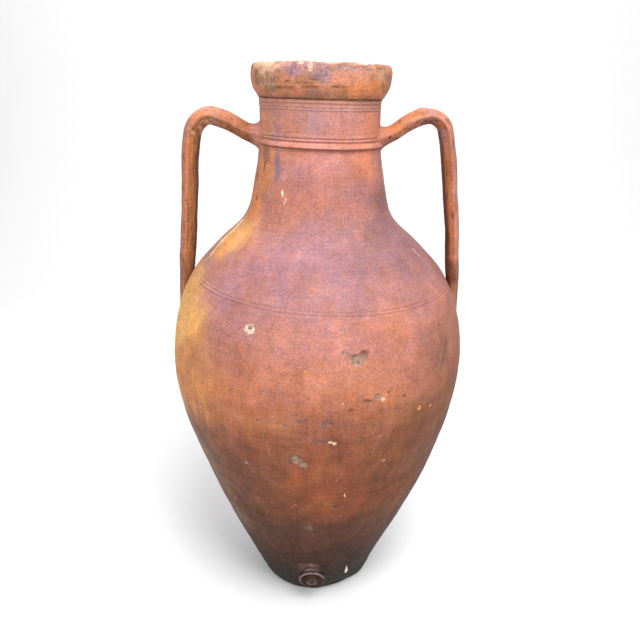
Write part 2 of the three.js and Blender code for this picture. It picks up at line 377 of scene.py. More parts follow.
def build_mesh(name, points, faces, sharp_rings=(), ring_size=SEGMENTS):
    mesh = bpy.data.meshes.new(name)
    mesh.from_pydata(points.reshape(-1, 3).tolist(), [], faces)
    mesh.polygons.foreach_set("use_smooth", np.ones(len(mesh.polygons), bool))
    if sharp_rings:
        pairs = np.zeros(len(mesh.edges) * 2, np.int64)
        mesh.edges.foreach_get("vertices", pairs)
        rings = pairs.reshape(-1, 2) // ring_size
        sharp = (rings[:, 0] == rings[:, 1]) & np.isin(rings[:, 0], list(sharp_rings))
        attribute = mesh.attributes.get("sharp_edge")
        attribute = attribute or mesh.attributes.new("sharp_edge", "BOOLEAN", "EDGE")
        attribute.data.foreach_set("value", sharp)
    mesh.update()
    mesh.validate()
    return placed(name, mesh)


def vectors(items, key):
    """One vector of each item of a mesh, such as where its vertices are."""
    flat = np.zeros(len(items) * 3)
    items.foreach_get(key, flat)
    return flat.reshape(-1, 3)


def facing_out(mesh):
    """Turns the faces over if the closed mesh encloses a negative volume."""
    co = vectors(mesh.vertices, "co")
    mesh.calc_loop_triangles()
    tri = np.zeros(len(mesh.loop_triangles) * 3, np.int64)
    mesh.loop_triangles.foreach_get("vertices", tri)
    a, b, c = (co[tri.reshape(-1, 3)[:, i]] for i in range(3))
    if np.einsum("ij,ij->i", a, np.cross(b, c)).sum() < 0:
        mesh.flip_normals()
    mesh.update()


def ring_faces(rings, size, closed):
    """Quads between neighbouring rings of points, and from the last back to the first if closed."""
    faces = []
    here = np.arange(size)
    after = (here + 1) % size
    for i in range(rings if closed else rings - 1):
        j = (i + 1) % rings
        corners = (i * size + here, i * size + after, j * size + after, j * size + here)
        faces += np.stack(corners, -1).tolist()
    return faces


def closed_faces(rings, size):
    """Quads along a tube of rings, and a fan at each end to one of two more points."""
    faces = ring_faces(rings, size, False)
    tip, last = rings * size, (rings - 1) * size
    for i in range(size):
        j = (i + 1) % size
        faces += [[tip, j, i], [tip + 1, last + i, last + j]]
    return faces


def wall_piece(name, low, high):
    outside = outer_grid(row_heights(low, high))
    steps = max(4, int((high - low) / (14 * MM)))
    rings = np.concatenate([outside, inner_grid(np.linspace(high + BEVEL, low + BEVEL, steps))])
    n, total = len(outside), len(rings)
    return build_mesh(name, rings, ring_faces(total, SEGMENTS, True), (0, n - 1, n, total - 1))


def neck_piece():
    """The neck, which ends in a tongue that the rim fits over."""
    tongue = MOUTH_RADIUS + 7 * MM
    lip = inner_grid([NECK_TOP, TONGUE_TOP, TONGUE_TOP], [tongue, tongue, MOUTH_RADIUS])
    rings = [outer_grid(row_heights(SHOULDER_TOP, NECK_TOP)), lip]
    rings.append(inner_grid(np.linspace(NECK_TOP - 1 * MM, SHOULDER_TOP + BEVEL, 16)))
    n, total = len(rings[0]), sum(map(len, rings))
    corners = (0, n - 1, n, n + 1, n + 2, total - 1)
    return build_mesh("jar_neck", np.concatenate(rings), ring_faces(total, SEGMENTS, True), corners)


def base_piece():
    """The foot disc: underside, worn bottom edge, outer edge, then the dished floor inside."""
    edge = 6 * MM
    foot = outer_radius(0.0)
    under = inner_grid([0, 0, 0], [30 * MM, 70 * MM, foot - edge])
    under[..., 2] = 0
    dents = 0.8 * MM * noise(xyz(np.sin(AZIMUTH), np.cos(AZIMUTH), 0), 6, 25)
    worn = []
    for turn in np.linspace(-math.pi / 2, -0.15, 6)[1:]:
        z = edge + edge * math.sin(turn) + 0 * AZIMUTH
        out, lift = foot_wear(AZIMUTH, z)
        worn.append(around(foot - edge + edge * math.cos(turn) + out + dents, AZIMUTH, z + lift))
    outside = outer_grid(row_heights(edge * 1.4, BASE_TOP))
    lip = BASE_TOP + BEVEL
    floor = inner_radius(lip)
    inside = inner_grid(
        [lip, FLOOR_THICKNESS + 3 * MM, FLOOR_THICKNESS, FLOOR_THICKNESS, FLOOR_THICKNESS],
        [floor, floor - BEVEL * 0.7, floor - BEVEL * 1.3, 60 * MM, 25 * MM],
    )
    rings = np.concatenate([under, settled(np.array(worn)), outside, inside])
    middle = settled([[0, 0, 0], [0, 0, FLOOR_THICKNESS]])
    middle[0, 2] = 0
    k = len(rings) - len(inside)
    points = np.concatenate([rings.reshape(-1, 3), middle])
    return build_mesh("jar_base", points, closed_faces(len(rings), SEGMENTS), (k - 1, k))


def collar_profile():
    """(radius, height) from the underside of the rim, round the outside and down the mouth."""
    shoulder = CREST - 14 * MM
    t = np.linspace(0, 1, 26)[:, None]
    a = np.array([100.5 * MM, NECK_TOP])
    b = np.array([104 * MM, 958 * MM])
    c = np.array([COLLAR_RADIUS, 964 * MM])
    d = np.array([COLLAR_RADIUS, shoulder])
    flare = a * (1 - t) ** 3 + 3 * b * t * (1 - t) ** 2 + 3 * c * t**2 * (1 - t) + d * t**3
    turn = np.linspace(0, math.pi / 2, 16)[1:]
    c, s = curl(turn, 2.6)
    crown = np.stack([COLLAR_RADIUS - 9 * MM * (1 - c), shoulder + 14 * MM * s], -1)
    top = np.stack([np.linspace(105, 92, 9)[1:] * MM, np.full(8, CREST)], -1)
    turn = np.linspace(math.pi / 2, math.pi, 6)[1:]
    lip = np.stack([92 * MM + 5 * MM * np.cos(turn), CREST - 5 * MM + 5 * MM * np.sin(turn)], -1)
    mouth = np.stack([np.full(8, MOUTH_RADIUS), np.linspace(CREST - 9 * MM, TONGUE_TOP, 8)], -1)
    return np.concatenate([flare, crown, top, lip, mouth])


def collar_piece():
    profile = collar_profile()
    tangent = np.gradient(profile, axis=0)
    tangent /= np.linalg.norm(tangent, axis=1, keepdims=True)
    r = profile[:, :1] + 0 * AZIMUTH
    z = profile[:, 1:] + 0 * AZIMUTH
    plain = around(r, AZIMUTH, z)
    d = 1.0 * MM * noise(plain, 14, 31) + 0.6 * MM * noise(plain, 40, 32)
    d += 0.25 * MM * noise(plain, 120, 33)
    turns = xyz(3 * np.cos(AZIMUTH), 3 * np.sin(AZIMUTH), z * 130)
    d += 0.35 * MM * noise(turns, 1.0, 34)
    d -= 2.2 * MM * ramp(z, CREST - 10 * MM, CREST) * patches(plain, 42, 121, 0.05, 0.35)
    d *= ramp(z, NECK_TOP, NECK_TOP + 6 * MM)
    rings = settled(around(r + d * tangent[:, 1:], AZIMUTH, z - d * tangent[:, :1]))
    rebate = MOUTH_RADIUS + 7.3 * MM
    joint = inner_grid([TONGUE_TOP, NECK_TOP], [rebate, rebate])
    rings = np.concatenate([rings, joint])
    n = len(profile)
    return build_mesh("jar_rim", rings, ring_faces(n + 2, SEGMENTS, True), (0, n - 1, n, n + 1))


def hermite(a, b, leave, arrive, steps):
    """Rings of points going from ring a to ring b, without either end ring."""
    rows = []
    for t in np.linspace(0, 1, steps + 2)[1:-1]:
        rows.append(
            (2 * t**3 - 3 * t**2 + 1) * a + (t**3 - 2 * t**2 + t) * leave
            + (-2 * t**3 + 3 * t**2) * b + (t**3 - t**2) * arrive
        )
    return rows


def capped(name, rings):
    """A closed tube of rings with a point at the middle of each end."""
    rings = np.array(rings)
    points = np.concatenate([rings.reshape(-1, 3), [rings[0].mean(0), rings[-1].mean(0)]])
    piece = build_mesh(name, points, closed_faces(*rings.shape[:2]))
    facing_out(piece.data)
    return piece


# ---- strap handles
HANDLE_RING = 72
HANDLE_STEP = 2.6 * MM
LEFT_PATH = [(-96, 893), (-112, 897), (-131, 907), (-156, 919), (-184, 926), (-205, 912), (-215, 885),
             (-223, 820), (-232, 736), (-240, 676), (-243, 650)]
RIGHT_PATH = [(96, 890), (112, 893), (130, 902), (157, 918), (186, 924), (207, 911), (215, 886),
              (222, 849), (229, 793), (235.5, 744), (241, 688), (244, 655)]
NECK_AXIS = 5 * MM


def on_wall(side, y, z, under=1.0 * MM):
    """A point of the leaning wall at a given y and height, a little under the surface."""
    r = outer_radius(z) - under
    x = side * np.sqrt(np.maximum(r * r - y * y, 0))
    return settled(xyz(x, y, z))


def handle_piece(name, side, path, thick, wide, seed):
    """A strap along a path. Its half thickness and half width follow tables along its length."""
    centre = spline(path, 14) * MM
    length = np.concatenate([[0], np.cumsum(np.linalg.norm(np.diff(centre, axis=0), axis=1))])
    s = np.linspace(0, length[-1], int(length[-1] / HANDLE_STEP))
    x = np.interp(s, length, centre[:, 0]) + NECK_AXIS
    z = np.interp(s, length, centre[:, 1])
    tangent = xyz(np.gradient(x, s), 0, np.gradient(z, s))
    tangent /= np.linalg.norm(tangent, axis=1, keepdims=True)
    normal = side * xyz(-tangent[:, 2], 0, tangent[:, 0])
    angle = np.linspace(0, math.tau, HANDLE_RING, endpoint=False)
    ridge = 1 + 0.10 * np.exp(-(((angle - 1.52 * math.pi) / 0.22) ** 2))
    out, across = (part * ridge for part in curl(angle, 2.15))
    half_thick, half_wide = (along(table, s / s[-1])[:, None] * MM for table in (thick, wide))
    bend = 1.5 * MM * noise(xyz(s, 0, 0), 9, seed)
    offset = normal[:, None] * (half_thick * out)[..., None]
    offset = offset + np.array([0, 1, 0]) * (half_wide * across)[..., None]
    rings = xyz(x, bend, z)[:, None] + offset
    push = offset / np.linalg.norm(offset, axis=-1, keepdims=True)
    lumps = 1.1 * MM * noise(rings, 26, seed + 1) + 0.45 * MM * noise(rings, 75, seed + 2)
    lumps += 0.18 * MM * noise(rings, 260, seed + 3)
    streak = xyz(s[:, None] * 6, rings[..., 1] * 90, 0)
    lumps += 0.35 * MM * noise(streak, 1.0, seed + 4)
    if side > 0:
        lumps += 3.0 * MM * np.exp(-(((x[:, None] - 176 * MM) / (7 * MM)) ** 2)) * ramp(out, 0.5, 1.0)
    rings = rings + push * lumps[..., None]

    def foot(z_mid, tall, broad, down, wobble):
        smear = 1 + 0.10 * np.sin(2 * angle + wobble) + 0.07 * np.sin(3 * angle + 2 * wobble)
        c, a = curl(angle, 2.2)
        return on_wall(side, broad * MM * a * smear, z_mid * MM + down * tall * MM * c * smear)

    neck_root = foot(893, 27, 44, 1, seed)
    wall_root = foot(604, 40, 27, -1, seed + 1.3)
    first = int(np.searchsorted(s, 31 * MM))
    last = int(np.searchsorted(s, s[-1] - 10 * MM))
    rings = list(rings[first:last])
    start, end = rings[0], rings[-1]
    flow = tangent[first] * np.linalg.norm(start - neck_root, axis=1, keepdims=True)
    spread = neck_root - neck_root.mean(0)
    head = hermite(neck_root, start, -1.15 * spread, 1.25 * flow, 14)
    flow = tangent[last - 1] * np.linalg.norm(end - wall_root, axis=1, keepdims=True)
    spread = wall_root - wall_root.mean(0)
    tail = hermite(end, wall_root, 1.0 * flow, 0.7 * spread, 16)
    inward = np.array([side * 8 * MM, 0, 0])
    rings = [neck_root - inward, neck_root, *head, *rings, *tail, wall_root, wall_root - inward]
    return capped(name, rings)


# ---- cordon round the neck
def cordon_piece():
    """A raised band with a sharp lower edge, sunk 1.5 mm into the neck above and below."""
    z = np.array([880.6, 880.2, 880.5, 881.3, 882.6, 884.2, 885.8, 887.2, 888.4, 888.9]) * MM
    proud = np.array([-1.5, 1.8, 3.6, 4.4, 4.5, 4.1, 3.2, 1.9, 0.4, -1.5])[:, None] * MM
    zz, a = np.meshgrid(z, AZIMUTH, indexing="ij")
    base_r = outer_radius(zz)
    plain = around(base_r, a, zz)
    lump = 0.5 * MM * noise(plain, 30, 41) + 0.25 * MM * noise(plain, 95, 42)
    r = base_r + proud + np.where(proud > 0, lump, relief(plain, a, zz))
    rings = settled(around(r, a, zz + 0.4 * MM * noise(plain, 24, 43)))
    piece = build_mesh("jar_cordon", rings, ring_faces(len(rings), SEGMENTS, True), (0, 1, len(z) - 1))
    facing_out(piece.data)
    return piece


# ---- drain spout and its bung
SPOUT_RING = 120
SPOUT_TURN = np.linspace(0, math.tau, SPOUT_RING, endpoint=False)
JOINT_AXIS = np.array(frame["joints"][0]["axis"], float)
spout_low, spout_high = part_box("drain_spout")
SPOUT_REACH, SPOUT_HEIGHT = 158 * MM, 70 * MM
SPOUT_CENTRE = np.array([(spout_low.x + spout_high.x) / 2, -SPOUT_REACH, SPOUT_HEIGHT])
SPOUT_UP = np.array([0, JOINT_AXIS[2], -JOINT_AXIS[1]])


def spout_ring(radius, along_axis, seed=None, rough=0.0):
    """A ring round the spout's axis: radius and distance out from the lip, in mm."""
    spoke = np.cos(SPOUT_TURN)[:, None] * np.array([1, 0, 0]) + np.sin(SPOUT_TURN)[:, None] * SPOUT_UP
    ring = SPOUT_CENTRE + spoke * radius * MM + JOINT_AXIS * along_axis * MM
    if rough:
        dent = rough * MM * (noise(ring, 55, seed) + 0.5 * noise(ring, 170, seed + 1))
        ring = ring + spoke * dent[:, None] + JOINT_AXIS * (dent * 0.6)[:, None]
    return ring


def spout_root(radius):
    """Where lines parallel to the spout's axis, a given distance from it, meet the wall."""
    rise = np.clip(np.sin(SPOUT_TURN), 0, 1) ** 1.4
    uneven = radius + 31 * rise + 1.5 * np.sin(2 * SPOUT_TURN + 0.6)
    low, high = np.full(SPOUT_RING, -60.0), np.full(SPOUT_RING, 30.0)
    for _ in range(30):
        mid = (low + high) / 2
        ring = spout_ring(uneven[:, None], mid[:, None])
        across = ring[:, 0] - lean_at(ring[:, 2])
        outside = np.hypot(across, ring[:, 1]) > outer_radius(ring[:, 2])
        high = np.where(outside, mid, high)
        low = np.where(outside, low, mid)
    return spout_ring(uneven[:, None], mid[:, None] - 1.0)


def spout_piece():
    lip = [(22.2, -0.8), (22.8, 0.0), (23.5, 0.5), (24.3, 0.5), (25.1, 0.1), (25.7, -0.7), (26.0, -1.6),
           (25.9, -2.8), (25.0, -3.9), (23.6, -4.7), (22.0, -5.4), (21.0, -6.6), (20.8, -8.0)]
    rings = [spout_ring(r, s, 51, 0.55) for r, s in lip]
    neck = rings[-1]
    root = spout_root(27.5)
    spread = root - root.mean(0)
    top = np.sin(SPOUT_TURN)[:, None]
    crown = np.maximum(top, -0.1) * JOINT_AXIS * 33 * MM
    leave = (0.9 + 0.6 * top) * 1.1 * (neck - neck.mean(0)) + crown
    blend = 0.15 + 0.75 * np.clip(top, 0, 1)
    arrive = blend * spread - (0.9 - blend) * JOINT_AXIS * 26 * MM
    for i, ring in enumerate(hermite(neck, root, leave, arrive, 16)):
        fade = math.sin(math.pi * (i + 1) / 18)
        bumps = 0.9 * MM * fade * (noise(ring, 40, 53) + 0.4 * noise(ring, 130, 54))
        rings.append(ring + bumps[:, None] * JOINT_AXIS)
    rings += [root, root - JOINT_AXIS * 4 * MM]
    rings += [spout_ring(19, -30), spout_ring(19, -41), spout_ring(9.93, -41)]
    rings += [spout_ring(12.8 + 0.07 * s, s) for s in (-30, -20, -12)]
    rings += [spout_ring(12.6, -6.5), spout_ring(15.0, -5.8, 55, 0.2), spout_ring(18.4, -4.8, 55, 0.3)]
    rings = np.array([*rings, spout_ring(21.2, -2.6, 55, 0.3)])
    piece = build_mesh("jar_drain_spout", rings, ring_faces(len(rings), SPOUT_RING, True),
                       (len(lip) + 16, len(lip) + 17), SPOUT_RING)
    facing_out(piece.data)
    return piece


def bung_piece():
    profile = [(1.5, 1.8, 0), (3.0, 2.0, 0.15), (4.6, 2.6, 0.2), (5.7, 3.9, 0.3), (6.4, 4.8, 0.3),
               (7.6, 5.3, 0.35), (9.2, 5.4, 0.35), (10.6, 5.1, 0.35), (11.6, 4.2, 0.3), (12.1, 2.8, 0.25),
               (12.3, 0.8, 0.2), (12.4, -1.5, 0.15), (12.3, -5, 0.1), (12.15, -8, 0.05), (11.7, -14, 0.05),
               (11.3, -20, 0.05), (10.9, -26, 0.05), (10.5, -32, 0.05), (10.1, -37, 0.05), (9.3, -38, 0),
               (4.0, -38, 0)]
    rings = [spout_ring(r, s, 61, rough * 1.4) for r, s, rough in profile]
    return capped("drain_bung_plug", rings)


def open_bore(wall):
    """Cuts the passage for the spout's shank through the wall of the jar."""
    cutter = capped("shank_cutter", [spout_ring(18.2, s) for s in (-70, -40, -10, 20)])
    cut = wall.modifiers.new("passage", "BOOLEAN")
    cut.operation, cut.object, cut.solver = "DIFFERENCE", cutter, "MANIFOLD"
    graph = bpy.context.evaluated_depsgraph_get()
    opened = bpy.data.meshes.new_from_object(wall.evaluated_get(graph))
    wall.modifiers.clear()
    wall.data = opened
    bpy.data.objects.remove(cutter)


base = base_piece()
lower = wall_piece("jar_lower_wall", BASE_TOP, LOWER_TOP)
belly = wall_piece("jar_belly", LOWER_TOP, BELLY_TOP)
shoulder = wall_piece("jar_shoulder", BELLY_TOP, SHOULDER_TOP)
neck = neck_piece()
rim = collar_piece()
cordon = cordon_piece()
handle_left = handle_piece(
    "jar_handle_left", -1, LEFT_PATH,
    [(0, 14), (0.1, 14), (0.3, 14.5), (0.45, 14), (0.7, 13.5), (1, 12.5)],
    [(0, 26), (0.1, 24), (0.3, 24), (0.5, 22), (0.8, 21), (1, 21)], 71,
)
handle_right = handle_piece(
    "jar_handle_right", 1, RIGHT_PATH,
    [(0, 13.5), (0.1, 12.5), (0.3, 12.5), (0.45, 12.5), (0.7, 12.0), (1, 11.5)],
    [(0, 26), (0.1, 23), (0.3, 23), (0.5, 22), (0.8, 22), (1, 22)], 91,
)
spout = spout_piece()
bung = bung_piece()
open_bore(lower)

# ---- painted tones of the fired clay
TONES = [  # height in mm and the clay's colour there, on the front, as linear red, green, blue; darker towards the foot partly from stain and partly as painted shade on the downward-facing lower body
    (1000, 0.4, 0.18, 0.11), (985, 0.42, 0.17, 0.1), (960, 0.44, 0.17, 0.09), (940, 0.4, 0.17, 0.12),
    (870, 0.46, 0.18, 0.12), (800, 0.43, 0.16, 0.11), (740, 0.41, 0.17, 0.13), (680, 0.38, 0.16, 0.13),
    (640, 0.42, 0.16, 0.12), (580, 0.42, 0.15, 0.09), (530, 0.37, 0.13, 0.07),
    (490, 0.29, 0.105, 0.058), (440, 0.235, 0.085, 0.043), (380, 0.2, 0.073, 0.038),
    (300, 0.165, 0.063, 0.034), (250, 0.13, 0.05, 0.031), (200, 0.105, 0.046, 0.03),
    (150, 0.08, 0.039, 0.026), (100, 0.066, 0.038, 0.027), (50, 0.054, 0.037, 0.03),
    (0, 0.06, 0.045, 0.036),
]
PATCHES = [  # azimuth, height mm, half width deg, half height mm, colour, strength
    (-70, 598, 24, 66, (0.7, 0.34, 0.1), 0.95), (-62, 738, 19, 36, (0.68, 0.3, 0.09), 0.9),
    (-73, 683, 9, 9, (0.26, 0.15, 0.15), 0.85), (-74, 660, 13, 24, (0.64, 0.28, 0.08), 0.8),
    (-48, 560, 14, 40, (0.47, 0.19, 0.08), 0.7), (-60, 490, 18, 52, (0.5, 0.21, 0.07), 0.8),
    (-58, 840, 15, 50, (0.56, 0.2, 0.07), 0.8), (-66, 790, 14, 26, (0.6, 0.21, 0.07), 0.8),
    (-56, 868, 7, 13, (0.24, 0.12, 0.075), 0.7), (-46, 806, 8, 16, (0.33, 0.14, 0.1), 0.6),
    (4, 725, 48, 55, (0.37, 0.165, 0.155), 0.75), (50, 735, 24, 52, (0.31, 0.14, 0.13), 0.85),
    (-28, 675, 22, 38, (0.35, 0.148, 0.135), 0.7), (-2, 622, 22, 26, (0.44, 0.175, 0.13), 0.6),
    (-32, 605, 15, 40, (0.35, 0.135, 0.095), 0.7), (8, 566, 26, 32, (0.47, 0.17, 0.09), 0.6),
    (44, 640, 20, 26, (0.47, 0.17, 0.11), 0.6), (60, 560, 22, 62, (0.29, 0.11, 0.065), 0.85),
    (-30, 500, 18, 24, (0.32, 0.12, 0.055), 0.5), (52, 470, 20, 46, (0.22, 0.085, 0.045), 0.7),
    (6, 400, 13, 66, (0.25, 0.078, 0.038), 0.7), (8, 315, 14, 48, (0.235, 0.073, 0.034), 0.8),
    (-42, 340, 24, 90, (0.125, 0.058, 0.036), 0.8), (52, 380, 18, 60, (0.155, 0.065, 0.038), 0.6),
    (38, 300, 10, 50, (0.22, 0.08, 0.038), 0.6), (-8, 225, 26, 40, (0.095, 0.042, 0.029), 0.7),
    (42, 205, 16, 60, (0.145, 0.065, 0.033), 0.6), (-64, 320, 18, 130, (0.17, 0.118, 0.085), 0.75),
    (-55, 212, 15, 46, (0.135, 0.1, 0.088), 0.65), (-3, 914, 11, 28, (0.36, 0.175, 0.16), 0.85),
    (-45, 914, 4, 22, (0.36, 0.18, 0.14), 0.7), (2, 868, 16, 28, (0.5, 0.195, 0.145), 0.6),
    (42, 865, 13, 42, (0.58, 0.19, 0.095), 0.75), (58, 908, 13, 24, (0.55, 0.185, 0.09), 0.75),
    (-60, 915, 13, 18, (0.51, 0.21, 0.09), 0.7), (-39, 852, 3.2, 27, (0.22, 0.13, 0.13), 0.9),
    (62, 795, 13, 34, (0.28, 0.12, 0.095), 0.85), (38, 812, 13, 20, (0.35, 0.15, 0.14), 0.6),
    (-48, 990, 16, 10, (0.6, 0.35, 0.21), 0.75), (-46, 972, 14, 14, (0.27, 0.17, 0.11), 0.6),
    (-19, 990, 9, 8, (0.3, 0.17, 0.2), 0.85), (1, 986, 7, 11, (0.24, 0.15, 0.2), 0.9),
    (-8, 978, 14, 9, (0.55, 0.22, 0.1), 0.6), (22, 985, 20, 8, (0.5, 0.19, 0.12), 0.5),
    (30, 966, 30, 12, (0.56, 0.185, 0.065), 0.8), (0, 963, 9, 8, (0.3, 0.15, 0.12), 0.6),
    (55, 985, 8, 10, (0.48, 0.27, 0.16), 0.6),
]
RIM_MARKS = [
    # azimuth, mm below the crest, half width mm, half height mm, kind
    (-19, 7, 9, 6, "violet"), (-24, 14, 4, 8, "violet"), (-11, 6, 4, 5, "violet"),
    (1, 10, 8, 9, "violet"), (5, 18, 5, 7, "violet"), (-3, 5, 5, 3, "violet"),
    (21, 7.5, 20, 2.2, "violet"), (40, 8.5, 10, 2, "violet"), (-62, 3, 9, 5, "cream"),
    (-47, 2.5, 10, 3.2, "cream"), (-33, 2.5, 9, 2.6, "cream"), (-15, 2, 8, 2.2, "cream"),
    (-8, 6, 5, 7, "cream"), (9, 1.2, 10, 1.6, "cream"), (30, 1.5, 14, 1.6, "cream"),
    (57, 15, 4, 9, "tan"), (47, 3, 8, 1.6, "tan"), (-52, 14, 9, 5, "cream"), (-58, 22, 8, 9, "olive"),
    (-46, 17, 7, 7, "olive"), (-40, 25, 14, 6, "olive"), (-14, 29, 15, 2.2, "umber"),
    (-6, 24, 9, 1.8, "umber"), (-10, 34, 16, 2, "umber"), (12, 33, 10, 1.8, "umber"),
    (-30, 35, 16, 2.2, "umber"), (-26, 27, 7, 1.8, "umber"), (-1, 0.5, 11, 1.2, "umber"),
    (33, 5, 16, 1, "umber"), (51, 6.5, 7, 1.2, "umber"),
]
KIND_COLOURS = {
    "pale": (0.46, 0.31, 0.25), "grey": (0.25, 0.165, 0.12), "dark": (0.11, 0.055, 0.045),
    "ring": (0.55, 0.42, 0.31), "orange": (0.52, 0.20, 0.05), "cream": (0.62, 0.44, 0.33),
    "tan": (0.23, 0.155, 0.115), "moss": (0.12, 0.08, 0.05), "slate": (0.15, 0.095, 0.09),
    "violet": (0.27, 0.155, 0.175), "olive": (0.27, 0.155, 0.09), "umber": (0.20, 0.08, 0.045),
    "straw": (0.88, 0.76, 0.62), "scuff_and_highlight": (0.72, 0.52, 0.34),
    "worn": (0.52, 0.34, 0.30), "hair": (0.26, 0.19, 0.16),
}
STAIN_AND_SHADING = [  # height and how much stain and painted light change the clay's colour there: paler near the top as painted light on the upward-facing shoulder and rim, darker low down from weathering stain and painted shade on the downward-facing lower body
    (0, 0.55, 0.54, 0.54), (0.05, 0.49, 0.45, 0.42), (0.1, 0.54, 0.43, 0.38), (0.18, 0.68, 0.56, 0.47),
    (0.22, 0.8, 0.7, 0.6), (0.26, 0.88, 0.77, 0.7), (0.34, 0.99, 0.88, 0.87), (0.42, 1.03, 1, 1.02),
    (0.46, 0.95, 0.92, 1.03), (0.5, 1, 1.02, 1.1), (0.58, 0.99, 1.07, 1.22), (0.65, 0.88, 0.99, 1.16),
    (0.7, 0.87, 0.94, 1.09), (0.77, 0.89, 0.98, 1.16), (0.85, 0.88, 0.98, 1.2),
    (0.88, 1.02, 1.09, 1.25), (0.93, 1.05, 1.13, 1.36), (0.947, 1.1, 1.2, 1.42),
    (0.97, 1.24, 1.3, 1.36), (1, 1.14, 1.2, 1.3),
]


def unsettled(points):
    """Azimuth in degrees and height in metres on the upright jar."""
    z = points[:, 2].copy()
    for _ in range(3):
        x = points[:, 0] - lean_at(z)
        z = points[:, 2] + x * np.tan(np.radians(along(DIP, z)))
    return np.degrees(np.arctan2(x, -points[:, 1])), z


def degrees_from(start, azimuth):
    """Degrees from one azimuth round to others, from -180 to 180."""
    return (azimuth - start + 180) % 360 - 180


def coated(tone, *coats):
    """The tone under coats of other colours, each with how much of it lies at each point."""
    for colour, amount in coats:
        tone = tone + (np.asarray(colour) - tone) * np.clip(amount, 0, 1)[:, None]
    return tone


def varied(colour, amount, cast=(1, 1, 1)):
    """The colour lightened by an amount at each point, in the proportions of a cast."""
    return np.asarray(colour) * (1 + amount[:, None] * np.asarray(cast))


def from_table(table, heights):
    """Colours at the given heights, from rows of a height and a colour."""
    table = np.array(table)
    return np.stack([np.interp(heights, table[:, 0], table[:, i]) for i in (1, 2, 3)], -1)


def clay_tone(piece):
    """The points of a piece, the painted colour at each, and its azimuth and height."""
    points = vectors(piece.data.vertices, "co")
    azimuth, z = unsettled(points)
    shift = 14 * MM * layered(points, 9, 101) + 6 * MM * layered(points, 40, 102)
    table = [(height * MM, *colour) for height, *colour in TONES[::-1]]
    tone = from_table(table, z + shift)
    turn = 5.0 * layered(points, 8, 103) + 2.0 * layered(points, 34, 104)
    ragged = 0.16 * layered(points, 26, 108)
    for a0, h0, wide, tall, colour, strength in PATCHES:
        da = degrees_from(a0, azimuth + turn)
        dz = (z + shift - h0 * MM) / (tall * MM)
        field = np.exp(-0.7 * ((da / wide) ** 2 + dz * dz)) + ragged
        tone = coated(tone, (colour, ramp(field, 0.18, 0.82) * strength))
    spread = np.random.default_rng(5)
    for _ in range(60):  # plainer patches round the back
        a0 = spread.uniform(95, 265)
        h0, wide, tall = spread.uniform(0.05, 0.97), spread.uniform(8, 26), spread.uniform(0.02, 0.09)
        warm = spread.uniform(0.75, 1.3)
        cast = np.array([warm, 1, spread.uniform(0.8, 1.25)])
        da = degrees_from(a0, azimuth + turn)
        amount = np.exp(-((da / wide) ** 2 + ((z - h0) / tall) ** 2))
        tone = varied(tone, amount, (cast - 1) * 0.8)
    c, s = np.cos(np.radians(azimuth)), np.sin(np.radians(azimuth))
    low = ramp(0.56 - z, 0, 0.12)
    tone = varied(tone, layered(xyz(c, s, z * 2.0), 9, 105) * (0.10 + 0.14 * low))
    level = layered(xyz(0.5 * c, 0.5 * s, z * 7.0), 9, 109)
    tone = varied(tone, level * low, (0.13, 0.17, 0.15))
    ochre = patches(points, 22, 110, -0.05, 0.40) * low * ramp(z, 0.20, 0.30)
    tone = varied(tone, 0.6 * ochre, (0.06, 0.22, -0.12))
    tone = varied(tone, (0.13 + 0.08 * low) * layered(points, 30, 106))
    tone = varied(tone, layered(points, 19, 107), (0.05, -0.02, -0.20))
    # Painted shade: darker towards +X, and more so at the right-hand edge, as if lit from the left.
    side = s * (0.09 + 0.17 * ramp(0.58 - z, 0, 0.1)) * ramp(z, 0.08, 0.2)
    tone = tone * (1 - side - 0.10 * ramp(azimuth, 50, 80))[:, None]
    return points, tone * from_table(STAIN_AND_SHADING, z + shift), azimuth, z


